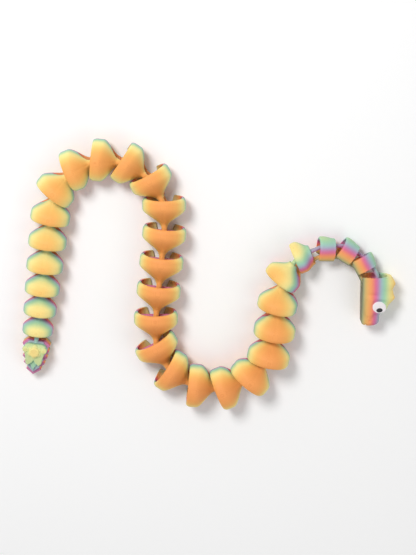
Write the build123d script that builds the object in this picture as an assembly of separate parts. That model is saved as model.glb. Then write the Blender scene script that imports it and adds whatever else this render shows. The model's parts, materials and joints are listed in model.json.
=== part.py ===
"""Articulated serpent: a print-in-place chain of a head, three neck drums, bell-shaped body links and a leaf tail.

Each piece has a mouth that opens towards the tail with a cross bar inside it, and a loop (the bail) that
reaches towards the head and is caught on the bar of the piece in front. Millimetres, +Z up. The toy lies in
an open S on its flat printed bellies; the neck rolls over step by step, so that the head lies on its side.
"""
import os
from math import asin, atan2, cos, degrees, exp, hypot, radians, sin, sqrt, tan

from build123d import *

# ---- driving dimensions ------------------------------------------------------------------------------
BODY_LINKS = 26
PEAK_WIDTH = 32.0          # widest body link
FIRST_WIDTH = 23.0         # body link behind the neck
LAST_WIDTH = 22.0          # body link in front of the tail tip
SWELL_LINKS = 2.0          # links over which the body swells behind the neck
TAPER_LINKS = 6.0          # links over which it tapers to the tail
BODY_HEIGHT_RATIO = 0.92   # height of a body link over its width
BELL_LENGTH_RATIO = 0.66   # mouth rim to the end of the flared neck, over the width
NECK_FRONT = 0.22          # width of the neck over that of the bell
NECK_CROWN = 0.60          # height of the neck over that of the bell
NECK_GAP = 0.2             # from a bell's neck to the rim ahead of it
DRUM_GAP = 4.6             # from a drum's flat front to the rim ahead of it
NECK_LINKS = 3
NECK_WIDTH = 17.0
NECK_HEIGHT = 16.3
NECK_DRUM_LENGTH = 10.0
DRUM_FRONT = 0.9           # width of a drum's front over that of its mouth
DRUM_CROWN = 0.93
HEAD_WIDTH = 20.0
HEAD_MOUTH_HEIGHT = 20.5
HEAD_LENGTH = 36.0
TAIL_WIDTH = 20.0
TAIL_HEIGHT = 20.0
TAIL_LENGTH = 26.0
TAIL_SEAT = 8.4            # from the front of the leaf to the bar that its loop hangs on

WALL = 1.8                 # shell of a link
BELLY_WALL = 1.5           # flat floor of a link
LIMIT = 30.0               # degrees a joint bends to either side, and belly inwards, from straight
RUNNING_GAP = 0.15         # left between bar and loop at the limit
LOOP_SWING_GAP = 0.5       # left round the loop as it swings in the mouth
SLOT_FLARE = 2.5           # more width of the belly slot at the rim, for the flare of the neck behind
BED_CUT = 0.3              # how much of the loop's underside the print bed flattens
SECTION_SINK = 0.82        # centre height of a link's oval section over its upper half-height

EYE_LENGTH, EYE_HEIGHT, EYE_DEPTH = 10.0, 8.4, 1.6
PUPIL_LENGTH, PUPIL_HEIGHT, PUPIL_DEPTH = 4.4, 3.3, 0.8

# ---- the rest layout -----------------------------------------------------------------------------------
ROOT = NECK_LINKS + 13     # index of the piece that the others hang from
TURN = 28.0                # bend of a joint in the two U-turns
NECK_ARCH = (28, 29, 29, 28, 28, 26)     # bends from the head joint back to the third body link
NECK_ROLL = (-90, -90, -90, -74, -54, -34, -14)   # roll of the head and of the pieces behind it


def link_width(n):
    """Width of body link n, counted from 1 behind the neck."""
    swell = (PEAK_WIDTH - FIRST_WIDTH) * exp(-(n - 1) / SWELL_LINKS)
    taper = (PEAK_WIDTH - LAST_WIDTH) * exp(-(BODY_LINKS - n) / TAPER_LINKS)
    return PEAK_WIDTH - swell - taper


class Piece:
    """Sizes of one piece: its own bar is at x = 0 and its belly at z = 0, with +x towards the head."""

    def __init__(self, name, width, height, length, front, crown_front):
        self.name, self.width, self.height, self.length = name, width, height, length
        self.front, self.crown_front = front, crown_front   # share of width and height left at the front end
        self.bar_z = 2.2 + 0.22 * height
        self.bar_r = 0.6 + 0.026 * width
        self.loop_r = 0.8 + 0.038 * width
        self.mouth = max(3.6, 0.5 + 0.13 * width)           # rim to bar
        self.seat, self.seat_z = 0, self.bar_z              # where the bar ahead sits; the head has none

    def hook(self, ahead):
        """Sizes of the loop that catches the bar of the piece ahead, and the room it swings in there."""
        self.wire = min(self.loop_r, ahead.loop_r)
        self.seat_z = ahead.bar_z
        self.bend = ahead.bar_z - self.wire + BED_CUT
        self.reach = (ahead.bar_r + self.wire) / cos(radians(LIMIT)) + RUNNING_GAP
        ahead.room = self.reach + self.wire + LOOP_SWING_GAP
        wide = (self.front - NECK_FRONT) / (DRUM_FRONT - NECK_FRONT)
        gap = NECK_GAP + (DRUM_GAP - NECK_GAP) * min(2 * wide, 1)
        self.seat = self.length - self.mouth + gap + ahead.mouth


def chain():
    pieces = [Piece("head", HEAD_WIDTH, HEAD_MOUTH_HEIGHT, HEAD_LENGTH, 1, 1)]
    for n in range(1, NECK_LINKS + 1):
        pieces.append(Piece(f"neck_link_{n}", NECK_WIDTH, NECK_HEIGHT, NECK_DRUM_LENGTH, DRUM_FRONT, DRUM_CROWN))
    for n in range(1, BODY_LINKS + 1):
        width = link_width(n)
        drum_like = exp(-(n - 1) / 0.9)        # the first body link is halfway between a drum and a bell
        length = (BELL_LENGTH_RATIO - 0.12 * drum_like) * width
        front = NECK_FRONT + 0.32 * drum_like
        crown = NECK_CROWN + 0.12 * drum_like
        pieces.append(Piece(f"body_link_{n:02d}", width, BODY_HEIGHT_RATIO * width, length, front, crown))
    pieces.append(Piece("tail_tip", TAIL_WIDTH, TAIL_HEIGHT, TAIL_LENGTH, NECK_FRONT, NECK_CROWN))
    for ahead, piece in zip(pieces, pieces[1:]):
        piece.hook(ahead)
    pieces[-1].seat = TAIL_SEAT
    return pieces


def smooth(t):
    t = min(max(t, 0.0), 1.0)
    return t * t * (3 - 2 * t)


def oval(x, half_width, crown, floor=0.0):
    """Face across x: an upright oval from its flat floor to its crown."""
    half_height = (crown - floor) / (1 + SECTION_SINK)
    centre = floor + SECTION_SINK * half_height
    foot = half_width * sqrt(1 - SECTION_SINK**2)
    start = degrees(atan2(-SECTION_SINK, foot / half_width))
    with BuildSketch(Plane((x, 0, 0), x_dir=(0, 1, 0), z_dir=(1, 0, 0))) as sketch:
        with BuildLine():
            EllipticalCenterArc((0, centre), half_width, half_height, start, arc_size=180 - 2 * start)
            Line((-foot, floor), (foot, floor))
        make_face()
    return sketch.sketch


def bell_size(piece, x):
    """Half-width and crown height of a link's shell at x."""
    share = (x + piece.mouth) / piece.length      # 0 at the mouth rim, 1 at the neck root
    lip = 0.08 * max(0.0, 1 - share / 0.14) ** 2
    half_width = piece.width / 2 * (1 - lip - (1 - piece.front) * smooth((share - 0.36) / 0.64))
    crown = piece.height * (1 - lip / 2 - (1 - piece.crown_front) * smooth((share - 0.25) / 0.75))
    return half_width, crown


def shell(piece):
    """Bell or drum of a link, hollow from the mouth to the end of the loop's swing."""
    stations = (0, 0.06, 0.14, 0.36, 0.52, 0.68, 0.84, 1)
    outer = loft([oval(x, *bell_size(piece, x)) for x in (-piece.mouth + s * piece.length for s in stations)])
    depth = piece.room + piece.mouth
    faces = []
    for s in (-0.12, 0, 0.25, 0.5, 0.75, 1):
        x = -piece.mouth + s * depth
        half_width, crown = bell_size(piece, x)
        faces.append(oval(x, half_width - WALL, crown - WALL, BELLY_WALL))
    return outer - loft(faces)


def belly_slot(piece):
    """Opening in the flat belly for the lower side of the loop behind, fanned for its swing."""
    wide = piece.mouth * tan(radians(LIMIT)) + piece.loop_r / cos(radians(LIMIT)) + SLOT_FLARE
    narrow = piece.loop_r + 2 * LOOP_SWING_GAP
    rim, end = -piece.mouth, piece.room + LOOP_SWING_GAP
    outline = Polyline((rim - 2, -wide), (end, -narrow), (end, narrow), (rim - 2, wide), close=True)
    return Pos(0, 0, -1) * extrude(make_face(outline.edges()), BELLY_WALL + 2)


def bar(piece, span):
    return Pos(0, 0, piece.bar_z) * Rot(90, 0, 0) * Cylinder(piece.bar_r, span)


def loop(piece, seat_x, root_x):
    """Closed loop in the upright mid-plane: two straps from root_x and a round end just past the seat."""
    centre = seat_x + piece.reach - piece.bend
    end = Rot(90, 0, 0) * Rot(0, 0, -90) * Torus(piece.bend, piece.wire, major_angle=180, align=None)
    ring = Pos(centre, 0, piece.seat_z) * end
    run = centre - root_x
    for side in (-1, 1):
        strap = Rot(0, 90, 0) * Cylinder(piece.wire, run)
        ring += Pos(root_x + run / 2, 0, piece.seat_z + side * piece.bend) * strap
    return ring


def above_bed(solid):
    return solid & Pos(0, 0, 50) * Box(200, 200, 100)


def loop_hole(piece):
    """The loop's long hole, through the neck from side to side."""
    radius = piece.bend - piece.wire
    back, front = piece.room + WALL + radius, piece.seat + piece.reach - piece.bend
    hole = Pos(back, 0, piece.seat_z) * Rot(90, 0, 0) * Cylinder(radius, piece.width)
    return hole + Pos((back + front) / 2, 0, piece.seat_z) * Box(front - back, piece.width, 2 * radius)


def link(piece):
    front_x = piece.length - piece.mouth
    solid = shell(piece) - belly_slot(piece)
    if piece.name.startswith("body"):
        solid -= loop_hole(piece)
    solid += bar(piece, 2 * bell_size(piece, 0)[0] - WALL)
    solid += loop(piece, piece.seat, front_x - 1.5)
    return above_bed(solid)


# ---- head ------------------------------------------------------------------------------------------------
# distance forward of the mouth rim, half-width, crown height, height of the lower lip
HEAD_STATIONS = (
    (0.0, 9.6, 20.5, 0.0),
    (4.5, 10.0, 23.6, 0.0),
    (10.0, 9.9, 22.4, 0.0),
    (15.3, 9.8, 23.6, 0.0),
    (20.5, 9.2, 19.6, 0.0),
    (26.5, 7.6, 13.8, 0.0),
    (31.5, 7.1, 13.4, 0.0),
    (34.6, 6.2, 12.3, 0.5),
    (36.0, 3.6, 9.6, 2.4),
)
EYE_X, EYE_Z = 17.4, 12.0        # centre of the eye forward of the head's bar and above the chin
PUPIL_FORWARD = 1.9
EYE_PROUD, PUPIL_PROUD = 0.7, 0.25
NOSTRILS = ((24.8, 4.6), (28.1, 5.7))
NOSTRIL_R = 0.65
LIP_X, LIP_Z, LIP_R = 33.0, 3.2, 0.7


def head_side(x, z):
    """Half-width of the head at x, measured from its bar, and height z."""
    forward = x + CHAIN[0].mouth
    for (x0, w0, c0, _), (x1, w1, c1, _) in zip(HEAD_STATIONS, HEAD_STATIONS[1:]):
        if x0 <= forward <= x1:
            share = (forward - x0) / (x1 - x0)
            half_width, half_height = w0 + (w1 - w0) * share, (c0 + (c1 - c0) * share) / (1 + SECTION_SINK)
            return half_width * sqrt(1 - ((z - SECTION_SINK * half_height) / half_height) ** 2)
    raise ValueError("outside the head")


def eye_disc(x, z, length, height, inner, depth, side):
    plane = Plane((x, side * inner, z), x_dir=(1, 0, 0), z_dir=(0, side, 0))
    return extrude(plane * Ellipse(length / 2, height / 2), depth)


def head_pieces(piece):
    rim = -piece.mouth
    solid = loft([oval(rim + x, half, crown, lip) for x, half, crown, lip in HEAD_STATIONS])
    depth = piece.room + piece.mouth
    hollow = [
        oval(rim + s * depth, HEAD_WIDTH / 2 - WALL - 1.2 * s, HEAD_MOUTH_HEIGHT - WALL - 1.5 * s, BELLY_WALL)
        for s in (-0.12, 0, 0.5, 1)
    ]
    solid = solid - loft(hollow) - belly_slot(piece)
    solid += bar(piece, HEAD_WIDTH - WALL)
    parts = {}
    for side, word in ((-1, "right"), (1, "left")):
        eye_face = head_side(EYE_X, EYE_Z) + EYE_PROUD
        white = eye_disc(EYE_X, EYE_Z, EYE_LENGTH, EYE_HEIGHT, eye_face - EYE_DEPTH, EYE_DEPTH, side)
        pupil_face = eye_face + PUPIL_PROUD
        pupil = eye_disc(
            EYE_X + PUPIL_FORWARD, EYE_Z, PUPIL_LENGTH, PUPIL_HEIGHT, pupil_face - PUPIL_DEPTH, PUPIL_DEPTH, side
        )
        solid -= white
        parts[f"eye_white_{word}"] = white - pupil
        parts[f"pupil_{word}"] = pupil
        for x, z in NOSTRILS:
            solid -= Pos(x, side * (head_side(x, z) + 0.2), z) * Sphere(NOSTRIL_R)
    solid -= Pos(LIP_X, 0, LIP_Z) * Rot(90, 0, 0) * Cylinder(LIP_R, HEAD_WIDTH)
    return {"head": above_bed(solid), **parts}


# ---- tail tip ----------------------------------------------------------------------------------------------
# bottom, top, front and back of each layer, its greatest half-width and the teeth on a side
LEAF_LAYERS = (
    (0.0, 10.2, 0.0, TAIL_LENGTH, TAIL_WIDTH / 2, 5),
    (10.2, 12.6, 0.2, 23.0, 8.0, 4),
    (12.6, 14.8, 11.0, 20.5, 2.8, 1),
    (12.6, 17.0, 1.6, 15.5, 7.0, 2),
)
BOSS_R, BOSS_X, BOSS_TOP = 4.1, 6.6, 20.0
PETAL_R, PETAL_SIDE, PETAL_X, PETAL_TOP = 2.2, 6.4, 5.4, 18.2
TOOTH_DEPTH = 1.7


def leaf_outline(front, back, half_width, teeth):
    """Half outline of a serrated leaf, from its front to its tip."""
    length = back - front
    points = [(-front, 0.62 * half_width)]
    for k in range(teeth):
        share = (k + 0.75) / (teeth + 0.55)
        side = half_width * (1 - share**2.2) ** 0.5
        points.append((-(front + (share - 0.34 / teeth) * length), max(side - TOOTH_DEPTH, 0.4 * side)))
        points.append((-(front + share * length), side))
    return points


def tail_tip(piece):
    solid = None
    for bottom, top, front, back, half_width, teeth in LEAF_LAYERS:
        side = leaf_outline(front, back, half_width, teeth)
        mirrored = [(x, -y) for x, y in reversed(side)]
        outline = Polyline(*side, (-back, 0), *mirrored, close=True)
        layer = Pos(0, 0, bottom) * extrude(make_face(outline.edges()), top - bottom)
        solid = layer if solid is None else solid + layer
    flat_top = LEAF_LAYERS[-1][1]
    boss = Pos(-BOSS_X, 0, BOSS_TOP - BOSS_R) * Sphere(BOSS_R) & Pos(0, 0, flat_top - 1 + 50) * Box(100, 100, 100)
    solid += boss
    for side in (-1, 1):
        solid += Pos(-PETAL_X, side * PETAL_SIDE, PETAL_TOP / 2) * Cylinder(PETAL_R, PETAL_TOP)
    solid += loop(piece, piece.seat, -2.5)
    return above_bed(solid)


# ---- the chain at rest ---------------------------------------------------------------------------------------
def drop(piece, roll):
    """How far a rolled piece reaches below its joints."""
    turn, half_width = radians(abs(roll)), piece.width / 2
    if piece.name == "head":
        half_width += EYE_PROUD + PUPIL_PROUD
    half_height = piece.height / (1 + SECTION_SINK)
    centre = SECTION_SINK * half_height
    foot = half_width * sqrt(1 - SECTION_SINK**2)
    reach = hypot(half_height * cos(turn), half_width * sin(turn))
    height = piece.seat_z if piece.name == "tail_tip" else piece.bar_z
    if centre - half_height**2 * cos(turn) / reach > 0:
        return reach - (centre - height) * cos(turn)
    return height * cos(turn) + foot * sin(turn)


def rest_bends(joints):
    """Heading change at each joint from head to tail: the neck arch, a U-turn, a column, a U-turn, a column."""
    bends = list(NECK_ARCH) + [4, -4]
    bends += [-TURN] * 6 + [-6, 0, 0, 6] + [TURN] * 6
    return bends + [4] + [0] * (joints - len(bends) - 1)


def rest_frames(pieces):
    """Plane of each piece at rest, with its origin below its bar on its belly."""
    joints = len(pieces) - 1
    rolls = list(NECK_ROLL) + [0] * (len(pieces) - len(NECK_ROLL))
    heights = [max(drop(a, ra), drop(b, rb)) for a, ra, b, rb in zip(pieces, rolls, pieces[1:], rolls[1:])]
    headings = [-90.0]
    for bend in rest_bends(joints):
        headings.append(headings[-1] + bend)
    frames = []
    at = Vector(0, 0, heights[0])            # the joint in front of the piece
    for k, piece in enumerate(pieces):
        bar_z = piece.seat_z if k == joints else piece.bar_z
        rise = 0 if k in (0, joints) else heights[k - 1] - heights[k]
        step = Vector(piece.seat, 0, piece.seat_z - bar_z)
        lift = step.Z * cos(radians(rolls[k]))
        tilt = 0 if k in (0, joints) else degrees(atan2(lift, step.X) - asin(rise / hypot(step.X, lift)))
        turn = Rot(0, 0, headings[k]) * Rot(0, tilt, 0) * Rot(rolls[k], 0, 0)
        seat = (turn * Pos(piece.seat, 0, piece.seat_z)).position
        place = Pos(*(at - seat)) * turn
        frames.append(place)
        if 0 < k < joints:
            at = (place * Pos(0, 0, piece.bar_z)).position
    return frames


CHAIN = chain()


def build():
    """Each node's solid where it lies, and each piece's frame, in the part's own axes."""
    frames = rest_frames(CHAIN)
    solids = {}
    for piece, frame in zip(CHAIN, frames):
        if piece.name == "head":
            made = head_pieces(piece)
        elif piece.name == "tail_tip":
            made = {"tail_tip": tail_tip(piece)}
        else:
            made = {piece.name: link(piece)}
        solids.update({name: frame * solid for name, solid in made.items()})
    boxes = [solid.bounding_box() for solid in solids.values()]
    middle_x = (min(b.min.X for b in boxes) + max(b.max.X for b in boxes)) / 2
    middle_y = (min(b.min.Y for b in boxes) + max(b.max.Y for b in boxes)) / 2
    shift = Pos(-middle_x, -middle_y, -min(b.min.Z for b in boxes))
    return {name: shift * solid for name, solid in solids.items()}, [shift * frame for frame in frames]


if __name__ == "__main__":
    os.makedirs("parts", exist_ok=True)
    nodes, _ = build()
    for name, solid in nodes.items():
        export_step(solid, f"parts/{name}.step")
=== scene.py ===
"""Articulated serpent toy: bell links, neck drums, a head with inlaid eyes and a leaf tail, printed in one
piece from matte filament that changes colour as the print grows. Each piece is made in its own axes, in
millimetres, as it stood on the print bed (+z up, +x towards the head), and is then laid on its joints."""
import json
import math

import bpy
import numpy as np
from mathutils import Matrix, Vector

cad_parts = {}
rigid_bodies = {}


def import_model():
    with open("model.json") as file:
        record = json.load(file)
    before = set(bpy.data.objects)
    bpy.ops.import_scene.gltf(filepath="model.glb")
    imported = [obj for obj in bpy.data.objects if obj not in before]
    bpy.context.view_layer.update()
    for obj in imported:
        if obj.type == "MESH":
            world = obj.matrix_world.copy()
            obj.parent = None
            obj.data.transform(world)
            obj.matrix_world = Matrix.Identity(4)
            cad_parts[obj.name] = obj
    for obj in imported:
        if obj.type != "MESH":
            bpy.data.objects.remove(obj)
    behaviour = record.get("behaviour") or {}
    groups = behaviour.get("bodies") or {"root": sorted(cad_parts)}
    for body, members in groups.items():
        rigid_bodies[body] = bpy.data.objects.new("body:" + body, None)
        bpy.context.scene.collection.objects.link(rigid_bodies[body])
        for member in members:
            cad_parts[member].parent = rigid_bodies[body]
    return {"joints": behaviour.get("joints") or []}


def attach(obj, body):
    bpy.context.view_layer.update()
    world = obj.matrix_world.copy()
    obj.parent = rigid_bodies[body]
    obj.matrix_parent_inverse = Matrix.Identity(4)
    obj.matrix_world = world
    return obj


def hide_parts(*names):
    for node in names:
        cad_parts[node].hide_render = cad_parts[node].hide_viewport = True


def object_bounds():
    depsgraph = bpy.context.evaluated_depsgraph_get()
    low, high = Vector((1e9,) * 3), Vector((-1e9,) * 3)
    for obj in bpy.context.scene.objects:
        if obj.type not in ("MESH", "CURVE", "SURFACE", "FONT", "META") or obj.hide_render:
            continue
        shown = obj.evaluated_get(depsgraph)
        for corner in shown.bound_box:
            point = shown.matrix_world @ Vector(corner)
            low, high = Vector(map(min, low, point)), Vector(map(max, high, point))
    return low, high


bl_info = {
    "name": "Articulated serpent",
    "version": (1, 0, 0),
    "blender": (4, 5, 0),
    "location": "View3D > Sidebar > Serpent",
    "description": "Makes the links, head, eyes, tail tip and stage of a printed articulated serpent",
    "category": "Add Mesh",
}

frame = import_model()
CAD_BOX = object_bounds()
MM = 0.001
PIECES = bpy.context.scene.collection

# ---- the toy's own rules, in millimetres -------------------------------------------------------------------
NECK_FRONT, NECK_CROWN = 0.22, 0.60        # a bell's neck over its width and height
DRUM_FRONT, DRUM_CROWN = 0.9, 0.93         # the same for a drum
NECK_GAP, DRUM_GAP = 0.2, 4.6              # from a bell's neck, or a drum's front, to the rim ahead
LIMIT = math.radians(30)                   # bend of a joint
RUNNING_GAP, SWING_GAP = 0.15, 0.5         # from loop to bar, and from a swinging loop to the shell
SLOT_FLARE = 2.5                           # how much wider the belly slot is at the rim
BED_CUT = 0.3                              # flat that the print bed leaves under a loop
BAR_LIFT, BAR_LIFT_SHARE = 2.2, 0.22       # height of a cross bar: a base, and a share of the piece's height
BAR_RADIUS, BAR_RADIUS_SHARE = 0.6, 0.026  # radius of a cross bar: a base, and a share of the piece's width
WIRE_RADIUS, WIRE_RADIUS_SHARE = 0.8, 0.038
MOUTH_LEAST, MOUTH_BASE, MOUTH_SHARE = 3.6, 0.5, 0.13
WIDEN_OVER, NARROW_OVER = 2, 6             # links over which the body widens from the neck and narrows to the tail
DRUM_FADE = 0.9                            # links over which the first bells stop being like drums
DRUM_SHORTER, DRUM_WIDER, DRUM_TALLER = 0.12, 0.32, 0.12
FIRST_COLLAR = 0.35                        # share of the collar on the drum that has to clear the head's rim
FEWEST_FACES = 500                         # a piece with fewer faces came out empty
SINK = 0.82                                # height of an oval section's centre over its upper half
LIP, LIP_DRAW = 0.14, 0.08                 # length of a bell's rounded rim, and how far it draws in
FLARE_FROM, FALL_FROM = 0.36, 0.25         # where a bell starts to narrow and to fall, over its length
HEAD_HEADING = -90.0                       # degrees
NECK_ROLL = (-90, -90, -90, -74, -54, -34, -14)  # degrees that the head and the pieces behind it lie over
EYE_X, EYE_Z, PUPIL_FORWARD = 17.4, 12.0, 1.9
EYE_TILT, EYE_TURN = math.radians(10), math.radians(18)  # lean of the eye's face, and turn in its own plane
EYE_PROUD, PUPIL_PROUD = 0.7, 0.25
EYE_THICK, EYE_DOME, PUPIL_THICK, PUPIL_DOME = 1.7, 0.4, 0.9, 0.2
NOSTRILS = ((24.8, 4.6), (28.1, 5.7))      # x and height
NOSTRIL_R, NOSTRIL_DEPTH = 0.62, 0.75

# filament colour by height over the print bed: millimetres, then display red, green and blue
FILAMENT = (
    (0.0, 122, 122, 98), (0.7, 158, 164, 126), (1.5, 196, 180, 122), (2.5, 221, 180, 110), (3.5, 235, 177, 105),
    (5.5, 244, 160, 100), (6.5, 241, 148, 108), (7.5, 234, 132, 122), (8.5, 223, 116, 142), (9.5, 211, 118, 160),
    (10.5, 194, 136, 176), (11.5, 177, 160, 187), (12.5, 167, 184, 193), (13.5, 161, 198, 189),
    (14.5, 160, 206, 180), (15.5, 170, 212, 171), (16.5, 192, 219, 166), (17.6, 218, 227, 161),
    (19.0, 244, 232, 154), (21.0, 252, 226, 142), (23.0, 252, 207, 118), (25.0, 251, 184, 100),
    (27.0, 249, 168, 92), (29.5, 247, 158, 90),
)
FILAMENT_TOP = 30.0
STRETCH, STRETCH_FROM, STRETCH_OVER = 0.85, 24, 5  # taller bands on wide bells: power, first width, widths to full
COLOUR_DRIFT, LINE_PITCH = 1.1, 0.42       # how far a colour change wanders, and the eye's drawn lines

# ---- the stage, in metres ----------------------------------------------------------------------------------
BACKDROP, FLOOR_COLOUR, SKY_LIGHT = 0.97, 0.99, 0.43
FLOOR_REACH, FLOOR_Z = 4.0, -0.0003
FLOOR_NEAR, FLOOR_FAR = 0.3, 0.75          # between these the floor turns into the backdrop
LAMPS = (("key", (-0.35, 0.55, 0.9), 0.35, 7.3), ("fill", (0.7, -0.5, 0.9), 0.9, 2.1))  # place, size, watts
CAMERA_LENS, CAMERA_AWAY, CAMERA_LEAN = 83.0, 0.9, math.radians(14)


def linear(value):
    """Scene-linear value of a display colour from 0 to 255."""
    share = value / 255
    return share / 12.92 if share <= 0.04045 else ((share + 0.055) / 1.055) ** 2.4


def length(name, description, millimetres):
    return bpy.props.FloatProperty(name=name, description=description, default=millimetres * MM, unit="LENGTH")


class SerpentSizes(bpy.types.PropertyGroup):
    """Sizes of the toy."""

    peak_width: length("Widest link", "Width of the widest body link", 32)
    first_width: length("First link", "Width of the body link behind the neck", 23)
    last_width: length("Last link", "Width of the body link in front of the tail tip", 22)
    neck_width: length("Neck width", "Width of a neck drum", 17)
    neck_height: length("Neck height", "Height of a neck drum", 16.3)
    neck_length: length("Neck drum length", "Length of a neck drum", 10)
    head_width: length("Head width", "Width of the head", 20)
    head_height: length("Head socket height", "Height of the socket at the back of the head", 20.5)
    head_length: length("Head length", "From the socket's rim to the snout", 36)
    tail_width: length("Tail width", "Width of the leaf tail", 20)
    tail_height: length("Tail height", "Height of the boss on the tail", 20)
    tail_length: length("Tail length", "Length of the leaf tail", 26)
    drum_collar: length("Drum collar", "Raised collar at the front of a neck drum", 1.3)
    tail_seat: length("Tail seat", "From the leaf to the bar that its loop hangs on", 8.4)
    wall: length("Wall", "Shell thickness of a link", 1.8)
    belly_wall: length("Belly wall", "Thickness of a link's flat floor", 1.5)
    crease: length("Back crease", "Depth of the crease along a link's back", 0.22)
    eye_long: length("Eye height", "Height of the eye white", 10.0)
    eye_short: length("Eye length", "Length of the eye white along the head", 8.2)
    pupil_long: length("Pupil height", "Height of the pupil", 4.6)
    pupil_short: length("Pupil length", "Length of the pupil along the head", 3.1)
    body_links: bpy.props.IntProperty(name="Body links", description="Number of bell links", default=26, min=2)
    neck_links: bpy.props.IntProperty(name="Neck links", description="Number of neck drums", default=3, min=1)
    height_ratio: bpy.props.FloatProperty(
        name="Link height", description="Height of a body link over its width", default=0.92, subtype="FACTOR"
    )
    length_ratio: bpy.props.FloatProperty(
        name="Link length", description="Length of a bell over its width", default=0.66, subtype="FACTOR"
    )


class SerpentFinish(bpy.types.PropertyGroup):
    """Print and filament settings."""

    layer: length("Layer height", "Height of one printed layer", 0.2)
    ridge: length("Layer ridge", "Depth of the groove between two layers", 0.035)
    voxel: length("Mesh detail", "Size of the smallest detail kept in the printed skin", 0.44)
    roughness: bpy.props.FloatProperty(
        name="Roughness", description="Roughness of the matte filament", default=0.62, subtype="FACTOR"
    )
    eye_colour: bpy.props.FloatVectorProperty(
        name="Eye white", description="Filament of the eye whites", default=(0.87, 0.84, 0.85), subtype="COLOR"
    )
    pupil_colour: bpy.props.FloatVectorProperty(
        name="Pupil", description="Filament of the pupils", default=(0.012, 0.012, 0.014), subtype="COLOR"
    )


class Piece:
    """Sizes of one piece in millimetres: its own bar at x = 0, its belly at z = 0."""

    def __init__(self, name, width, height, long, front, crown_front):
        self.name, self.width, self.height, self.length = name, width, height, long
        self.front, self.crown_front = front, crown_front
        self.bar_z = BAR_LIFT + BAR_LIFT_SHARE * height
        self.bar_r = BAR_RADIUS + BAR_RADIUS_SHARE * width
        self.loop_r = WIRE_RADIUS + WIRE_RADIUS_SHARE * width
        self.mouth = max(MOUTH_LEAST, MOUTH_BASE + MOUTH_SHARE * width)
        self.seat, self.seat_z = 0.0, self.bar_z

    def hook(self, ahead):
        """Sizes the loop for the bar of the piece ahead, and the room that the loop needs there."""
        self.wire = min(self.loop_r, ahead.loop_r)
        self.seat_z = ahead.bar_z
        self.bend = ahead.bar_z - self.wire + BED_CUT
        self.reach = (ahead.bar_r + self.wire) / math.cos(LIMIT) + RUNNING_GAP
        ahead.room = self.reach + self.wire + SWING_GAP
        wide = (self.front - NECK_FRONT) / (DRUM_FRONT - NECK_FRONT)
        gap = NECK_GAP + (DRUM_GAP - NECK_GAP) * min(2 * wide, 1)
        self.seat = self.length - self.mouth + gap + ahead.mouth


def chain():
    """The pieces from head to tail tip."""
    s = bpy.context.scene.serpent_sizes
    pieces = [Piece("head", s.head_width / MM, s.head_height / MM, s.head_length / MM, 1, 1)]
    for n in range(1, s.neck_links + 1):
        neck = s.neck_width / MM, s.neck_height / MM, s.neck_length / MM
        pieces.append(Piece(f"neck_link_{n}", *neck, DRUM_FRONT, DRUM_CROWN))
    peak, first, last = s.peak_width / MM, s.first_width / MM, s.last_width / MM
    for n in range(1, s.body_links + 1):
        behind_neck = (peak - first) * math.exp(-(n - 1) / WIDEN_OVER)
        width = peak - behind_neck - (peak - last) * math.exp(-(s.body_links - n) / NARROW_OVER)
        drum_like = math.exp(-(n - 1) / DRUM_FADE)
        long = (s.length_ratio - DRUM_SHORTER * drum_like) * width
        front, crown = NECK_FRONT + DRUM_WIDER * drum_like, NECK_CROWN + DRUM_TALLER * drum_like
        pieces.append(Piece(f"body_link_{n:02d}", width, s.height_ratio * width, long, front, crown))
    tail = s.tail_width / MM, s.tail_height / MM, s.tail_length / MM
    pieces.append(Piece("tail_tip", *tail, NECK_FRONT, NECK_CROWN))
    for ahead, piece in zip(pieces, pieces[1:]):
        piece.hook(ahead)
    pieces[-1].seat = s.tail_seat / MM
    return pieces


def joint_between(a, b):
    """Place of the hinge between two bodies, in millimetres."""
    for joint in frame["joints"]:
        if {joint["parent"], joint["child"]} == {a, b}:
            return Vector(joint["pos_m"]) / MM
    raise RuntimeError(f"no joint between {a} and {b}")


def places(pieces):
    """Matrix of each piece from its own millimetres to the frame's metres."""
    rolls = list(NECK_ROLL) + [0] * (len(pieces) - len(NECK_ROLL))
    joints = [joint_between(a.name, b.name) for a, b in zip(pieces, pieces[1:])]
    heading, made = math.radians(HEAD_HEADING), []
    for k, (piece, roll) in enumerate(zip(pieces, rolls)):
        rolled = Matrix.Rotation(math.radians(roll), 4, "X")
        tilt = 0.0
        last = k == len(pieces) - 1
        if 0 < k and not last:
            span = joints[k - 1] - joints[k]
            reach = rolled @ Vector((piece.seat, 0, piece.seat_z - piece.bar_z))
            tilt = math.atan2(reach.z, reach.x) - math.asin(span.z / math.hypot(reach.x, reach.z))
            level = Matrix.Rotation(tilt, 4, "Y") @ reach
            heading = math.atan2(span.y, span.x) - math.atan2(level.y, level.x)
        turned = Matrix.Rotation(heading, 4, "Z") @ Matrix.Rotation(tilt, 4, "Y") @ rolled
        hold = Vector((piece.seat, 0, piece.seat_z)) if last else Vector((0, 0, piece.bar_z))
        anchor = joints[-1] if last else joints[k]
        made.append(Matrix.Scale(MM, 4) @ Matrix.Translation(anchor - turned @ hold) @ turned)
    return made


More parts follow.
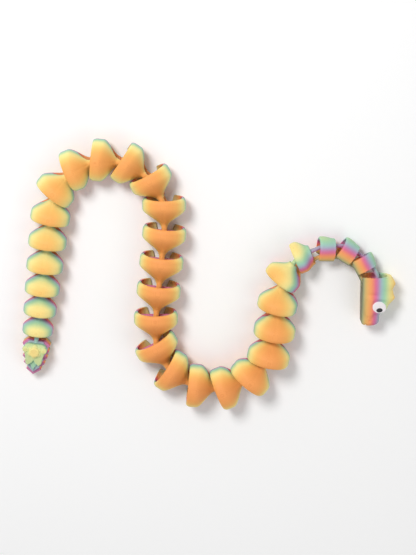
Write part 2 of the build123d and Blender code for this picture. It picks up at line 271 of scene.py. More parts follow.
# ---- nodes as expressions -----------------------------------------------------------------------------------
class Val:
    """A node's output that takes part in sums; each operator adds a Math node to its tree."""

    def __init__(self, graph, socket):
        self.graph, self.socket = graph, socket

    def maths(self, operation, *values):
        return self.graph.out(self.graph.node("ShaderNodeMath", dict(enumerate(values)), operation=operation))

    def __add__(self, other):
        return self.maths("ADD", self, other)

    def __radd__(self, other):
        return self.maths("ADD", other, self)

    def __sub__(self, other):
        return self.maths("SUBTRACT", self, other)

    def __rsub__(self, other):
        return self.maths("SUBTRACT", other, self)

    def __mul__(self, other):
        return self.maths("MULTIPLY", self, other)

    def __rmul__(self, other):
        return self.maths("MULTIPLY", other, self)

    def __truediv__(self, other):
        return self.maths("DIVIDE", self, other)

    def __rtruediv__(self, other):
        return self.maths("DIVIDE", other, self)

    def __pow__(self, other):
        return self.maths("POWER", self, other)

    def __neg__(self):
        return self.maths("MULTIPLY", self, -1.0)

    def __abs__(self):
        return self.maths("ABSOLUTE", self)

    def least(self, other):
        return self.maths("MINIMUM", self, other)

    def most(self, other):
        return self.maths("MAXIMUM", self, other)

    def sin(self):
        return self.maths("SINE", self)

    def cos(self):
        return self.maths("COSINE", self)

    def exp(self):
        return self.maths("EXPONENT", self)

    def whole(self):
        return self.maths("FLOOR", self)

    def smooth(self, low=0.0, high=1.0):
        """0 below low and 1 above high, with a smooth step between."""
        share = ((self - low) / (high - low)).most(0.0).least(1.0)
        return share * share * (3.0 - 2.0 * share)


class Graph:
    """A node tree with one way to add nodes."""

    def __init__(self, tree):
        self.tree = tree

    def node(self, kind, values=None, **settings):
        """Adds a node: its settings first, then the values or links of its sockets."""
        made = self.tree.nodes.new(kind)
        for name, value in settings.items():
            setattr(made, name, value)
        for key, value in (values or {}).items():
            for item in value if isinstance(value, list) else [value]:
                if isinstance(item, Val):
                    self.tree.links.new(item.socket, made.inputs[key])
                else:
                    made.inputs[key].default_value = item
        return made

    def out(self, node, key=0):
        return Val(self, node.outputs[key])

    def parts(self, vector):
        split = self.node("ShaderNodeSeparateXYZ", {0: vector})
        return [self.out(split, axis) for axis in range(3)]

    def vector(self, x, y, z):
        return self.out(self.node("ShaderNodeCombineXYZ", {0: x, 1: y, 2: z}))


def geometry_graph(name, sizes):
    """A geometry tree with a named input for each size, and for the material."""
    tree = bpy.data.node_groups.new(name, "GeometryNodeTree")
    tree.is_modifier = True
    tree.interface.new_socket("Geometry", in_out="INPUT", socket_type="NodeSocketGeometry")
    for size in sizes:
        tree.interface.new_socket(size, in_out="INPUT", socket_type="NodeSocketFloat")
    tree.interface.new_socket("Material", in_out="INPUT", socket_type="NodeSocketMaterial")
    tree.interface.new_socket("Geometry", in_out="OUTPUT", socket_type="NodeSocketGeometry")
    graph = Graph(tree)
    given = graph.node("NodeGroupInput")
    return graph, {socket.name: Val(graph, socket) for socket in given.outputs if socket.name}


def placed(graph, shape, x, y, z):
    """A shape with its points put where the expressions say."""
    moved = graph.node("GeometryNodeSetPosition", {"Geometry": shape, "Position": graph.vector(x, y, z)})
    return graph.out(moved)


def tube(graph, around, along):
    """Closed unit cylinder."""
    made = graph.node(
        "GeometryNodeMeshCylinder",
        {"Vertices": around, "Side Segments": along, "Radius": 1.0, "Depth": 1.0},
        fill_type="TRIANGLE_FAN",
    )
    return graph.out(made)


BELL_SIZES = ("Width", "Height", "Length", "Mouth", "Neck Width", "Neck Height", "Crease")
SOCKET_SIZES = (
    "Wall", "Belly Wall", "Room", "Cavity Narrowing", "Slot Rim", "Slot End", "Hole Back", "Hole Front",
    "Hole Radius", "Hole Height", "Bar Radius", "Bar Height", "Bar Span",
)
LOOP_SIZES = ("Loop Root", "Loop Centre", "Loop Bend", "Loop Wire", "Loop Height")


def bell_size(v, x):
    """Half-width and crown height of a bell at x, as expressions."""
    share = (x + v["Mouth"]) / v["Length"]
    lip = (1.0 - share / LIP).most(0.0)
    lip = LIP_DRAW * lip * lip
    half_width = v["Width"] / 2.0 * (1.0 - lip - (1.0 - v["Neck Width"]) * share.smooth(FLARE_FROM, 1.0))
    crown = v["Height"] * (1.0 - lip / 2.0 - (1.0 - v["Neck Height"]) * share.smooth(FALL_FROM, 1.0))
    return half_width, crown, share


def oval_shell(graph, across, up, x, half_width, crown, floor, shape):
    """A cylinder shaped to oval sections that stand flat on a floor."""
    half_height = (crown - floor) / (1.0 + SINK)
    z = (floor + SINK * half_height + half_height * up).most(floor)
    return placed(graph, shape, x, half_width * across, z)


def bell(graph, v):
    """Outer skin of a bell or a drum, with the crease along its back."""
    shape = tube(graph, 104, 72)
    across, up, along = graph.parts(graph.out(graph.node("GeometryNodeInputPosition")))
    x = (along + 0.5) * v["Length"] - v["Mouth"]
    half_width, crown, share = bell_size(v, x)
    on_back = share.smooth(0.2, 0.45) * (1.0 - share.smooth(0.8, 0.98)) * up.smooth(0.8, 1.0)
    crown = crown - v["Crease"] * on_back * (-(across * across) * 380.0).exp() * 1.6
    return oval_shell(graph, across, up, x, half_width, crown, 0.0, shape)


def socket_cut(graph, v, solid):
    """Hollow mouth with its belly slot, side hole and cross bar."""
    position = graph.out(graph.node("GeometryNodeInputPosition"))
    across, up, along = graph.parts(position)
    depth = v["Room"] + v["Mouth"]
    share = (along + 0.5) * 1.12 - 0.12
    x = share * depth - v["Mouth"]
    half_width, crown, _ = bell_size(v, x)
    narrow = v["Wall"] + v["Cavity Narrowing"] * share
    hollow = oval_shell(
        graph, across, up, x, half_width - narrow, crown - narrow, v["Belly Wall"], tube(graph, 88, 24)
    )
    brick = graph.out(graph.node("GeometryNodeMeshCube", {"Size": (1.0, 1.0, 1.0)}))
    fan = across + 0.5
    slot_from, slot_to = -2.0 - v["Mouth"], v["Room"] + SWING_GAP
    half_slot = v["Slot Rim"] + (v["Slot End"] - v["Slot Rim"]) * fan
    slot = placed(
        graph, brick, slot_from + (slot_to - slot_from) * fan, 2.0 * up * half_slot,
        (along + 0.5) * (v["Belly Wall"] + 2.0) - 1.0,
    )
    run = (v["Hole Front"] - v["Hole Back"]) / 2.0
    end = (up * 40.0).most(-1.0).least(1.0)
    hole = placed(
        graph, tube(graph, 56, 1), v["Hole Back"] + run + run * end + v["Hole Radius"] * up,
        along * v["Width"] * 1.4, v["Hole Height"] + v["Hole Radius"] * across,
    )
    cut = graph.node(
        "GeometryNodeMeshBoolean", {0: solid, 1: [hollow, slot, hole]}, operation="DIFFERENCE", solver="MANIFOLD"
    )
    rod = placed(
        graph, tube(graph, 40, 4), v["Bar Radius"] * up, v["Bar Span"] * along,
        v["Bar Height"] + v["Bar Radius"] * across,
    )
    return [graph.out(cut), rod]


def hook_loop(graph, v):
    """Loop at the front: two straps and a round end, flattened where it lay on the bed."""
    line = graph.node("GeometryNodeCurvePrimitiveLine", {"Start": (0.0, 0.0, 0.0), "End": (1.0, 0.0, 0.0)})
    points = graph.out(graph.node("GeometryNodeResampleCurve", {"Curve": graph.out(line), "Count": 90}))
    run, bend = v["Loop Centre"] - v["Loop Root"], v["Loop Bend"]
    arc = math.pi * bend
    walked = graph.out(graph.node("GeometryNodeSplineParameter"), "Factor") * (2.0 * run + arc)
    turned = ((walked - run) / bend).most(0.0).least(math.pi) - math.pi / 2
    x = v["Loop Centre"] + bend * turned.cos() - (run - walked).most(0.0) - (walked - run - arc).most(0.0)
    path = placed(graph, points, x, 0.0, v["Loop Height"] + bend * turned.sin())
    profile = graph.out(
        graph.node("GeometryNodeCurvePrimitiveCircle", {"Resolution": 28, "Radius": v["Loop Wire"]}, mode="RADIUS")
    )
    wire = graph.out(
        graph.node("GeometryNodeCurveToMesh", {"Curve": path, "Profile Curve": profile, "Fill Caps": True})
    )
    wx, wy, wz = graph.parts(graph.out(graph.node("GeometryNodeInputPosition")))
    return placed(graph, wire, wx, wy, wz.most(0.0))


def piece_tree(name, with_bell, with_socket, with_loop):
    """The tree that makes a piece: its own bell or the mesh given, its socket and its loop."""
    sizes = BELL_SIZES + SOCKET_SIZES if with_socket else ()
    sizes += LOOP_SIZES if with_loop else ()
    graph, v = geometry_graph(name, sizes)
    solid = bell(graph, v) if with_bell else v["Geometry"]
    shapes = socket_cut(graph, v, solid) if with_socket else [solid]
    if with_loop:
        shapes.append(hook_loop(graph, v))
    joined = graph.out(graph.node("GeometryNodeJoinGeometry", {"Geometry": shapes[::-1]}))
    real = graph.out(graph.node("GeometryNodeRealizeInstances", {"Geometry": joined}))
    finished = graph.out(graph.node("GeometryNodeSetMaterial", {"Geometry": real, "Material": v["Material"]}))
    graph.node("NodeGroupOutput", {"Geometry": finished})
    return graph.tree


def shared_tree(name, *features):
    return bpy.data.node_groups.get(name) or piece_tree(name, *features)


def tree_values(piece):
    """The named inputs of a piece's tree."""
    s = bpy.context.scene.serpent_sizes
    wall, belly = s.wall / MM, s.belly_wall / MM
    collar = float(piece.name.startswith("neck"))
    if piece.name == "neck_link_1":
        collar = FIRST_COLLAR
    shell_length = piece.length + collar * s.drum_collar / MM
    values = {
        "Width": piece.width, "Height": piece.height, "Length": shell_length, "Mouth": piece.mouth,
        "Neck Width": piece.front, "Neck Height": piece.crown_front, "Wall": wall, "Belly Wall": belly,
        "Crease": s.crease / MM if piece.name.startswith("body") else 0.0,
        "Bar Radius": piece.bar_r, "Bar Height": piece.bar_z, "Bar Span": piece.width - wall,
    }
    if piece.name == "head":
        values["Cavity Narrowing"] = 1.2
    if hasattr(piece, "room"):
        values["Room"] = piece.room
        values["Slot Rim"] = piece.mouth * math.tan(LIMIT) + piece.loop_r / math.cos(LIMIT) + SLOT_FLARE
        values["Slot End"] = piece.loop_r + 2 * SWING_GAP
    if hasattr(piece, "wire"):
        front = piece.length - piece.mouth
        centre = piece.seat + piece.reach - piece.bend
        root = -2.5 if piece.name == "tail_tip" else front - 1.5
        values.update({"Loop Root": root, "Loop Centre": centre, "Loop Bend": piece.bend})
        values.update({"Loop Wire": piece.wire, "Loop Height": piece.seat_z})
        if piece.name.startswith("body"):
            radius = piece.bend - piece.wire
            values.update({"Hole Back": piece.room + wall + radius, "Hole Front": centre})
            values.update({"Hole Radius": radius, "Hole Height": piece.seat_z})
    if "Hole Radius" not in values:
        values.update({"Hole Back": -60.0, "Hole Front": -50.0, "Hole Radius": 0.5, "Hole Height": 5.0})
    return values


def eased(share):
    """A share held between 0 and 1, with a smooth start and end."""
    share = np.clip(share, 0, 1)
    return share**2 * (3 - 2 * share)


def band_stretch(piece, x):
    """How much higher the colour bands run where a bell's back falls to its neck."""
    if not piece.name.startswith("body"):
        return np.ones_like(x)
    fall = eased(((x + piece.mouth) / piece.length - FALL_FROM) / (1 - FALL_FROM))
    crown = 1 - (1 - piece.crown_front) * fall
    return crown ** (-STRETCH * min(max((piece.width - STRETCH_FROM) / STRETCH_OVER, 0), 1))


def printed(piece, place, source, tree, detail=1.0, relax=3):
    """A piece of filament: its tree, a fused and softened skin, and the height that each point printed at."""
    sizes = {item.name: item.identifier for item in tree.interface.items_tree if item.in_out == "INPUT"}
    nodes = source.modifiers.new("Shape", "NODES")
    nodes.node_group = tree
    for name, value in tree_values(piece).items():
        if name in sizes:
            nodes[sizes[name]] = float(value)
    nodes[sizes["Material"]] = filament()
    skin = source.modifiers.new("Skin", "REMESH")
    skin.mode, skin.use_smooth_shade = "VOXEL", True
    skin.voxel_size = bpy.context.scene.serpent_finish.voxel / MM * detail
    soften = source.modifiers.new("Soften", "SMOOTH")
    soften.factor, soften.iterations = 0.5, relax
    graph = bpy.context.evaluated_depsgraph_get()
    mesh = bpy.data.meshes.new_from_object(source.evaluated_get(graph), depsgraph=graph)
    bpy.data.objects.remove(source)
    if len(mesh.polygons) < FEWEST_FACES:
        raise RuntimeError(f"{piece.name} came out empty")
    count = len(mesh.vertices)
    places_now = np.empty(count * 3, np.float32)
    mesh.vertices.foreach_get("co", places_now)
    x, z = places_now[0::3], places_now[2::3]
    np.maximum(z, 0.0, out=z)
    mesh.vertices.foreach_set("co", places_now)
    shown = z * band_stretch(piece, x)
    slopes = np.empty(count * 3, np.float32)
    mesh.vertex_normals.foreach_get("vector", slopes)
    for name, values in (("print_height", shown), ("print_level", slopes[2::3])):
        layer = mesh.attributes.new(name, "FLOAT", "POINT")
        layer.data.foreach_set("value", np.ascontiguousarray(values))
    mesh.transform(place)
    return settle(f"{piece.name}_print", mesh, piece.name, piece.name, filament())


def settle(name, mesh, body, node, material):
    """A finished mesh as a piece that rides on its body and stands for its CAD node."""
    mesh.name = name
    mesh.materials.clear()
    mesh.materials.append(material)
    mesh.polygons.foreach_set("use_smooth", [True] * len(mesh.polygons))
    made = bpy.data.objects.new(name, mesh)
    PIECES.objects.link(made)
    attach(made, body)
    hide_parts(node)
    return made


def blank(name, mesh=None):
    """An object for a piece's modifiers to work on."""
    made = bpy.data.objects.new(name, mesh or bpy.data.meshes.new(name))
    PIECES.objects.link(made)
    return made


# ---- materials ---------------------------------------------------------------------------------------------
def material_graph(name):
    """A new material and its empty graph."""
    made = bpy.data.materials.new(name)
    made.use_nodes = True
    made.node_tree.nodes.clear()
    return made, Graph(made.node_tree)


def finish_material(graph, colour, roughness, height, distance, specular=0.35):
    """Shader and output of a plastic, with its relief as a bump of the given depth."""
    bump = graph.node("ShaderNodeBump", {"Height": height, "Strength": 1.0, "Distance": distance})
    shader = graph.node(
        "ShaderNodeBsdfPrincipled",
        {"Base Color": colour, "Roughness": roughness, "Normal": graph.out(bump), "Specular IOR Level": specular},
    )
    graph.node("ShaderNodeOutputMaterial", {"Surface": graph.out(shader)})


def mixed(graph, blend, factor, a, b):
    made = graph.node("ShaderNodeMix", {0: factor, 6: a, 7: b}, data_type="RGBA", blend_type=blend)
    return graph.out(made, 2)


def noise(graph, where, scale, detail):
    return graph.out(graph.node("ShaderNodeTexNoise", {"Vector": where, "Scale": scale, "Detail": detail}), 0)


def filament():
    """Matte filament that fades through its colours with the height printed at, with painted shade in the grooves
    between its layers.
    """
    if "Rainbow filament" in bpy.data.materials:
        return bpy.data.materials["Rainbow filament"]
    look = bpy.context.scene.serpent_finish
    made, graph = material_graph("Rainbow filament")
    height = graph.out(graph.node("ShaderNodeAttribute", attribute_name="print_height"), "Fac")
    level = graph.out(graph.node("ShaderNodeAttribute", attribute_name="print_level"), "Fac")
    where = graph.out(graph.node("ShaderNodeTexCoord"), "Object")
    drift, grain = noise(graph, where, 45.0, 2.0), noise(graph, where, 900.0, 3.0)
    layers = height / (look.layer / MM)
    stepped = (layers.whole() + 0.5) * (look.layer / MM)
    shade_height = stepped + (drift - 0.5) * COLOUR_DRIFT
    ramp = graph.node("ShaderNodeValToRGB", {0: shade_height / FILAMENT_TOP})
    stops = ramp.color_ramp.elements
    while len(stops) < len(FILAMENT):
        stops.new(1.0)
    for stop, (at, *rgb) in zip(stops, FILAMENT):
        stop.position = at / FILAMENT_TOP
        stop.color = (*(linear(value) for value in rgb), 1.0)
    crest = 1.0 - abs(2.0 * (layers - layers.whole()) - 1.0)  # 0 between two layers, 1 in the middle of one
    # mask of the painted shade: 1 in the groove between two layers, 0 in the middle of a layer
    groove = (1.0 - crest.least(0.5) * 2.0) ** 2.0
    seen = abs(level).smooth(0.55, 0.97)                      # layer edges show most where the skin lies flat
    # painted shade: the colour is darkened towards brown in the grooves between layers, most where the skin lies
    # flat
    colour = mixed(graph, "MULTIPLY", groove * seen * 0.35, graph.out(ramp), (0.80, 0.62, 0.52, 1.0))
    colour = mixed(graph, "MULTIPLY", (grain - 0.35).most(0.0) * 0.35, colour, (0.86, 0.82, 0.80, 1.0))
    roughness = look.roughness + (grain - 0.5) * 0.18
    relief = crest.least(0.5) * (0.25 + 0.75 * seen) + grain * 0.25
    finish_material(graph, colour, roughness, relief, look.ridge)
    return made


def eye_filament(name, colour, fleck):
    """Plain filament with the fine lines that its top layer was drawn in."""
    if name in bpy.data.materials:
        return bpy.data.materials[name]
    made, graph = material_graph(name)
    where = graph.out(graph.node("ShaderNodeTexCoord"), "Object")
    _, y, z = graph.parts(where)
    lines = ((y + z * 0.35) * (2 * math.pi / (LINE_PITCH * MM))).sin()
    grain = noise(graph, where, 1400.0, 2.0)
    shade = mixed(graph, "MIX", (lines * 0.5 + 0.5) * 0.3 + grain * 0.3, (*colour, 1.0), (*fleck, 1.0))
    finish_material(graph, shade, 0.5 + grain * 0.15, lines * 0.4 + grain, 0.02 * MM)
    return made


# ---- head and tail shapes ----------------------------------------------------------------------------------
# forward of the socket's rim, half-width, crown height, height of the lower lip
HEAD_STATIONS = (
    (0.0, 9.85, 20.9, 0.0), (2.4, 10.0, 22.9, 0.0), (4.8, 10.0, 23.9, 0.0), (7.2, 9.95, 23.3, 0.0),
    (9.6, 9.9, 22.2, 0.0), (12.4, 9.85, 22.9, 0.0), (15.2, 9.8, 23.8, 0.0), (17.4, 9.6, 22.8, 0.0),
    (20.0, 9.2, 20.4, 0.0), (23.3, 8.4, 17.2, 0.0), (26.5, 7.6, 14.2, 0.0), (28.6, 7.3, 13.2, 0.0),
    (31.0, 7.1, 13.3, 0.0), (33.2, 6.7, 13.2, 0.1), (34.6, 5.9, 12.3, 0.8), (35.5, 4.4, 10.6, 2.0),
    (36.0, 2.4, 8.6, 3.8),
)
HEAD_LONG = HEAD_STATIONS[-1][0]
HEAD_RINGS, HEAD_AROUND = 150, 200
# how far it stands out, then its middle and spread along the head and up it
FACE_RELIEF = (
    (0.55, 14.5, 3.2, 17.5, 2.2),    # brow
    (-0.75, 12.2, 1.5, 8.4, 3.6),    # hollow behind the cheek
    (-0.5, 26.6, 1.8, 11.6, 2.4),    # bridge of the nose
    (0.35, 32.2, 2.2, 9.0, 3.0),     # nose
)


def head_side(z):
    """Half-width of the head beside the eye at height z."""
    at = EYE_X + MOUTH_LEAST
    table = np.array(HEAD_STATIONS)
    half, crown = np.interp(at, table[:, 0], table[:, 1]), np.interp(at, table[:, 0], table[:, 2])
    tall = crown / (1 + SINK)
    return half * math.sqrt(1 - ((z - SINK * tall) / tall) ** 2)


def bump_at(value, middle, spread):
    """Bell curve that is 1 at its middle."""
    return np.exp(-(((value - middle) / spread) ** 2))


def head_mesh(piece):
    """Closed skin of the head: smooth stations, brow, cheeks, crest lobes, nose, lips and nostrils."""
    table = np.array(HEAD_STATIONS)
    u = np.linspace(0, 1, HEAD_RINGS)
    forward = HEAD_LONG * (1 - (1 - u) ** 1.25)
    columns = []
    for column in (1, 2, 3):
        coarse = np.interp(forward, table[:, 0], table[:, column])
        kernel = bump_at(np.arange(-5, 6), 0, 2.4)
        padded = np.pad(coarse, 5, mode="edge")
        smoothed = np.convolve(padded, kernel / kernel.sum(), mode="valid")
        fade = np.clip((HEAD_LONG - forward) / 2.5, 0, 1)
        columns.append(coarse + (smoothed - coarse) * fade)
    half, crown, lip = (c[:, None] for c in columns)
    angle = np.linspace(0, 2 * np.pi, HEAD_AROUND, endpoint=False)[None, :]
    x = np.repeat((forward - piece.mouth)[:, None], HEAD_AROUND, 1)
    tall = (crown - lip) / (1 + SINK)
    side, up = np.cos(angle), np.sin(angle)
    z = np.maximum(lip + SINK * tall + tall * up, lip)
    y = half * np.sign(side) * np.abs(side) ** 0.93
    at = forward[:, None]
    flank = np.sqrt(np.clip(1 - up**2, 0, 1))
    cheek = np.hypot((at - 21.5) / 8.6, (z - 5.2) / 4.2)
    out = 1.1 * (1 - eased((cheek - 0.7) / 0.42))
    for proud, along, along_spread, height, height_spread in FACE_RELIEF:
        out += proud * bump_at(at, along, along_spread) * bump_at(z, height, height_spread)
    lobes = 0.8 * (bump_at(at, 4.8, 2.2) + bump_at(at, 15.2, 2.0)) * bump_at(np.abs(y), 4.6, 1.7) * (up > 0.3)
    lobes -= 0.6 * (bump_at(at, 5.2, 3.0) + bump_at(at, 14.8, 3.0)) * bump_at(y, 0, 1.3) * (up > 0.3)
    y = y + np.sign(side) * out * flank * np.clip((HEAD_LONG - at) / 4, 0, 1)
    z = z + lobes
    pad = head_side(EYE_Z) + (EYE_Z - z) * math.tan(EYE_TILT)
    seat = np.clip((1.4 - np.hypot((x - EYE_X) / 4.3, (z - EYE_Z) / 5.2)) / 0.3, 0, 1)
    y = y + np.sign(side) * seat * (np.clip(np.abs(y), pad - 0.35, pad) - np.abs(y)) * (flank > 0.3)
    for hole_x, hole_z in NOSTRILS:
        dent = bump_at(np.hypot(x - hole_x, z - hole_z), 0, NOSTRIL_R)
        y = y - np.sign(side) * NOSTRIL_DEPTH * dent * (flank > 0.4)
    mouth_line = bump_at(z, 3.3, 0.42) * np.clip((at - 29.5) / 3.5, 0, 1)
    y = y - np.sign(side) * 0.55 * mouth_line * flank
    x = x - 0.6 * mouth_line * np.clip((at - 33) / 2, 0, 1)
    points = np.stack([x, y, z], -1).reshape(-1, 3).tolist()
    return closed_rings("head_skin", points, HEAD_RINGS, HEAD_AROUND)


def closed_rings(name, points, rings, around):
    """Mesh of rings of points, each ring counter-clockwise seen from the front, closed at both ends."""
    points = [tuple(p) for p in points]
    faces = []
    for ring in range(rings - 1):
        for k in range(around):
            a, b = ring * around + k, ring * around + (k + 1) % around
            faces.append((a, b, b + around, a + around))
    for ring, forward in ((0, False), (rings - 1, True)):
        first = ring * around
        centre = np.mean(points[first:first + around], axis=0)
        points.append(tuple(centre))
        hub = len(points) - 1
        for k in range(around):
            a, b = first + k, first + (k + 1) % around
            faces.append((a, b, hub) if forward else (b, a, hub))
    mesh = bpy.data.meshes.new(name)
    mesh.from_pydata(points, [], faces)
    mesh.validate()
    return mesh


def lens(name, long, short, thick, dome, sides=72, rings=14):
    """Closed oval disc with a domed face, standing on its back at z = 0."""
    points = []
    for r in range(rings + 1):
        share = r / rings
        radius = 1.0 if r == 0 else math.cos(share * math.pi / 2) ** 0.8
        height = 0.0 if r == 0 else thick - dome + dome * math.sin(share * math.pi / 2)
        if r == rings:
            radius = 0.02
        for k in range(sides):
            angle = 2 * math.pi * k / sides
            points.append((short / 2 * radius * math.cos(angle), long / 2 * radius * math.sin(angle), height))
    return closed_rings(name, points, rings + 1, sides)


# bottom, top, front, tip, half-width, teeth on a side
LEAF_LAYERS = (
    (0.0, 10.2, 0.0, 26.0, 10.0, 5), (10.2, 12.6, 0.2, 23.4, 8.0, 4), (12.6, 14.8, 12.0, 21.4, 3.1, 1),
)
TOOTH_DEPTH = 1.7
# half outline of the two-pointed shield, from its front to the notch
SHIELD = (
    (-1.2, 4.6), (-2.2, 7.3), (-8.0, 7.2), (-12.0, 6.1), (-15.6, 5.7), (-17.4, 4.0), (-16.2, 2.6), (-15.2, 1.2),
    (-13.4, 0.0),
)
SHIELD_LOW, SHIELD_TOP = 12.0, 17.0
# x, y, radius, depth of six scallops, bottom, top: two petals, and a boss on its scalloped foot
KNOBS = (
    (-5.4, 6.4, 2.2, 0.1, 0.0, 18.2), (-5.4, -6.4, 2.2, 0.1, 0.0, 18.2),
    (-6.6, 0.0, 4.8, 0.6, 12.0, 18.4), (-6.6, 0.0, 3.6, 0.15, 14.0, 20.0),
)
KNOB_SIDES, KNOB_CHAMFER = 48, 0.8


def leaf_outline(front, back, half_width, teeth):
    """Half outline of a serrated leaf, from its front to its tip."""
    long = back - front
    points = [(-front, 0.62 * half_width)]
    for k in range(teeth):
        share = (k + 0.75) / (teeth + 0.55)
        side = half_width * (1 - share**2.2) ** 0.5
        points.append((-(front + (share - 0.34 / teeth) * long), max(side - TOOTH_DEPTH, 0.4 * side)))
        points.append((-(front + share * long), side))
    return points


def slab(points, outline, bottom, top, chamfer=0.7):
    """Adds a closed prism over an outline, with a drawn-in upper edge, and returns its faces."""
    first, count = len(points), len(outline)
    middle = np.mean(outline, axis=0)
    for height, inset in ((bottom, 0.0), (top - chamfer, 0.0), (top, chamfer)):
        for x, y in outline:
            reach = math.hypot(x - middle[0], y - middle[1])
            share = 1 - inset / max(reach, 1e-6)
            points.append((middle[0] + (x - middle[0]) * share, middle[1] + (y - middle[1]) * share, height))
    faces = []
    for ring in range(2):
        for k in range(count):
            a, b = first + ring * count + k, first + ring * count + (k + 1) % count
            faces.append((a, b, b + count, a + count))
    faces.append(tuple(range(first + count - 1, first - 1, -1)))
    faces.append(tuple(range(first + 2 * count, first + 3 * count)))
    return faces


def mirrored(side):
    """A whole outline from one side and a last point on the mid-line."""
    return list(side) + [(x, -y) for x, y in reversed(side[:-1])]


def tail_mesh():
    """Stepped leaf layers, the shield, the petals and the boss, each a closed prism that the skin fuses."""
    points, faces = [], []
    for bottom, top, front, back, half_width, teeth in LEAF_LAYERS:
        outline = mirrored(leaf_outline(front, back, half_width, teeth) + [(-back, 0)])
        faces += slab(points, outline, bottom, top)
    faces += slab(points, mirrored(SHIELD), SHIELD_LOW, SHIELD_TOP)
    turns = [2 * math.pi * k / KNOB_SIDES for k in range(KNOB_SIDES)]
    for x, y, radius, scallop, low, high in KNOBS:
        reach = [radius + scallop * (2 * abs(math.cos(3 * a)) - 1) for a in turns]
        outline = [(x + r * math.cos(a), y + r * math.sin(a)) for r, a in zip(reach, turns)]
        faces += slab(points, outline, low, high, KNOB_CHAMFER)
    mesh = bpy.data.meshes.new("tail_skin")
    mesh.from_pydata(points, [], faces)
    return mesh


# ---- operators ---------------------------------------------------------------------------------------------
def laid_out(prefix):
    """The pieces whose names start with a word, each with its matrix."""
    pieces = chain()
    return [(piece, place) for piece, place in zip(pieces, places(pieces)) if piece.name.startswith(prefix)]


class SERPENT_OT_body(bpy.types.Operator):
    """Make the bell links of the body"""

    bl_idname = "serpent.body"
    bl_label = "Body links"

    def execute(self, context):
        tree = shared_tree("Bell link", True, True, True)
        for piece, place in laid_out("body_link"):
            printed(piece, place, blank(piece.name), tree)
        return {"FINISHED"}


class SERPENT_OT_neck(bpy.types.Operator):
    """Make the drum links of the neck"""

    bl_idname = "serpent.neck"
    bl_label = "Neck links"

    def execute(self, context):
        tree = shared_tree("Bell link", True, True, True)
        for piece, place in laid_out("neck_link"):
            printed(piece, place, blank(piece.name), tree, detail=0.75)
        return {"FINISHED"}


class SERPENT_OT_head(bpy.types.Operator):
    """Make the head"""

    bl_idname = "serpent.head"
    bl_label = "Head"

    def execute(self, context):
        tree = shared_tree("Head socket", False, True, False)
        piece, place = laid_out("head")[0]
        printed(piece, place, blank("head", head_mesh(piece)), tree, detail=0.62, relax=2)
        return {"FINISHED"}


class SERPENT_OT_eyes(bpy.types.Operator):
    """Make the eye whites and pupils"""

    bl_idname = "serpent.eyes"
    bl_label = "Eyes"

    def execute(self, context):
        s, look = context.scene.serpent_sizes, context.scene.serpent_finish
        _, place = laid_out("head")[0]
        white = eye_filament("Eye filament", look.eye_colour, (0.93, 0.82, 0.85))
        black = eye_filament("Pupil filament", look.pupil_colour, (0.03, 0.03, 0.034))
        for side, word in ((-1, "right"), (1, "left")):
            face = head_side(EYE_Z)
            outward = Matrix.Rotation(-side * (math.pi / 2 - EYE_TILT), 4, "X")
            stand = Matrix.Translation((EYE_X, side * face, EYE_Z)) @ outward
            pupil_proud = EYE_PROUD + PUPIL_PROUD
            for kind, slot, forward, long, short, proud, thick, dome, turn, material in (
                ("eye_white", "eye_white", 0.0, s.eye_long, s.eye_short, EYE_PROUD, EYE_THICK, EYE_DOME,
                 side * EYE_TURN, white),
                ("pupil", "eye_black", PUPIL_FORWARD, s.pupil_long, s.pupil_short, pupil_proud, PUPIL_THICK,
                 PUPIL_DOME, 0.0, black),
            ):
                mesh = lens(kind, long / MM, short / MM, thick, dome)
                turned = Matrix.Translation((forward, 0, proud - thick)) @ Matrix.Rotation(turn, 4, "Z")
                mesh.transform(stand @ turned)
                mesh.transform(place)
                settle(f"{kind}_{word}_inlay", mesh, "head", f"{kind}_{word}", material)
        return {"FINISHED"}


class SERPENT_OT_tail(bpy.types.Operator):
    """Make the leaf tail tip"""

    bl_idname = "serpent.tail"
    bl_label = "Tail tip"

    def execute(self, context):
        tree = shared_tree("Leaf loop", False, False, True)
        piece, place = laid_out("tail_tip")[0]
        printed(piece, place, blank("tail_tip", tail_mesh()), tree, detail=0.62, relax=2)
        return {"FINISHED"}


def seen_directly(graph):
    """1 for a ray from the camera or off a gloss, 0 for light on the toy."""
    path = graph.node("ShaderNodeLightPath")
    return graph.out(path, "Is Camera Ray").most(graph.out(path, "Is Glossy Ray"))


def make_floor():
    made, graph = material_graph("Pale floor")
    plain = (FLOOR_COLOUR, FLOOR_COLOUR, FLOOR_COLOUR, 1.0)
    paper = graph.node("ShaderNodeBsdfPrincipled", {"Base Color": plain, "Roughness": 0.9})
    x, y, _ = graph.parts(graph.out(graph.node("ShaderNodeTexCoord"), "Object"))
    far = ((x * x + y * y) ** 0.5).smooth(FLOOR_NEAR, FLOOR_FAR)
    pale = {"Color": (BACKDROP, BACKDROP, BACKDROP, 1.0), "Strength": 1.0}
    glow = graph.out(graph.node("ShaderNodeEmission", pale))
    cover = graph.node("ShaderNodeMixShader", {0: seen_directly(graph) * far, 1: graph.out(paper), 2: glow})
    graph.node("ShaderNodeOutputMaterial", {"Surface": graph.out(cover)})
    mesh = bpy.data.meshes.new("floor")
    corners = [(FLOOR_REACH * x, FLOOR_REACH * y, FLOOR_Z) for x, y in ((-1, -1), (1, -1), (1, 1), (-1, 1))]
    mesh.from_pydata(corners, [], [(0, 1, 2, 3)])
    mesh.materials.append(made)
    floor = bpy.data.objects.new("floor", mesh)
    PIECES.objects.link(floor)


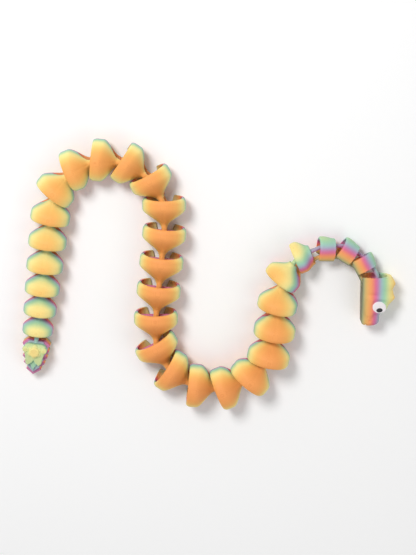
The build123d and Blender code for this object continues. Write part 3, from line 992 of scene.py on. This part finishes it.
def light_scene(scene, middle):
    """The two soft lamps, and a sky that lights weakly and looks pale."""
    for name, at, size, power in LAMPS:
        data = bpy.data.lights.new(name, "AREA")
        data.shape, data.size, data.energy = "DISK", size, power
        lamp = bpy.data.objects.new(name, data)
        lamp.location = at
        lamp.rotation_euler = (middle - Vector(at)).to_track_quat("-Z", "Y").to_euler()
        PIECES.objects.link(lamp)
    world = scene.world or bpy.data.worlds.new("World")
    scene.world = world
    world.use_nodes = True
    world.node_tree.nodes.clear()
    graph = Graph(world.node_tree)
    light = graph.node("ShaderNodeBackground", {"Color": (1.0, 1.0, 1.0, 1.0), "Strength": SKY_LIGHT})
    pale = {"Color": (BACKDROP, BACKDROP, BACKDROP, 1.0), "Strength": 1.0}
    backdrop = graph.out(graph.node("ShaderNodeBackground", pale))
    sky = graph.node("ShaderNodeMixShader", {0: seen_directly(graph), 1: graph.out(light), 2: backdrop})
    graph.node("ShaderNodeOutputWorld", {"Surface": graph.out(sky)})


class SERPENT_OT_stage(bpy.types.Operator):
    """Make the floor, lights and camera"""

    bl_idname = "serpent.stage"
    bl_label = "Stage"

    def execute(self, context):
        low, high = CAD_BOX
        middle = (low + high) / 2
        make_floor()
        light_scene(context.scene, middle)
        camera = bpy.data.objects.new("camera", bpy.data.cameras.new("camera"))
        camera.data.lens = CAMERA_LENS
        back = Vector((0, math.sin(CAMERA_LEAN), math.cos(CAMERA_LEAN)))
        up = Vector((0, math.cos(CAMERA_LEAN), -math.sin(CAMERA_LEAN)))
        turned = Matrix((up.cross(back), up, back)).transposed().to_4x4()
        camera.matrix_world = Matrix.Translation(middle + back * CAMERA_AWAY) @ turned
        camera.data.clip_start, camera.data.clip_end = 0.01, 20
        PIECES.objects.link(camera)
        context.scene.camera = camera
        context.scene.view_settings.view_transform = "Standard"
        return {"FINISHED"}


class SERPENT_PT_panel(bpy.types.Panel):
    """The serpent's sizes, finishes and makers"""

    bl_label = "Articulated serpent"
    bl_space_type = "VIEW_3D"
    bl_region_type = "UI"
    bl_category = "Serpent"

    def draw(self, context):
        for group in (context.scene.serpent_sizes, context.scene.serpent_finish):
            box = self.layout.box()
            for name in group.__annotations__:
                box.prop(group, name)
        for operator in MAKERS:
            self.layout.operator(operator.bl_idname)


MAKERS = (
    SERPENT_OT_body, SERPENT_OT_neck, SERPENT_OT_head, SERPENT_OT_eyes, SERPENT_OT_tail, SERPENT_OT_stage,
)
CLASSES = (SerpentSizes, SerpentFinish) + MAKERS + (SERPENT_PT_panel,)


def register():
    for cls in CLASSES:
        bpy.utils.register_class(cls)
    bpy.types.Scene.serpent_sizes = bpy.props.PointerProperty(type=SerpentSizes)
    bpy.types.Scene.serpent_finish = bpy.props.PointerProperty(type=SerpentFinish)


def unregister():
    del bpy.types.Scene.serpent_finish
    del bpy.types.Scene.serpent_sizes
    for cls in reversed(CLASSES):
        bpy.utils.unregister_class(cls)


def main():
    register()
    for operator in MAKERS:
        group, name = operator.bl_idname.split(".")
        getattr(getattr(bpy.ops, group), name)()
    bpy.context.view_layer.update()


if __name__ == "__main__":
    main()
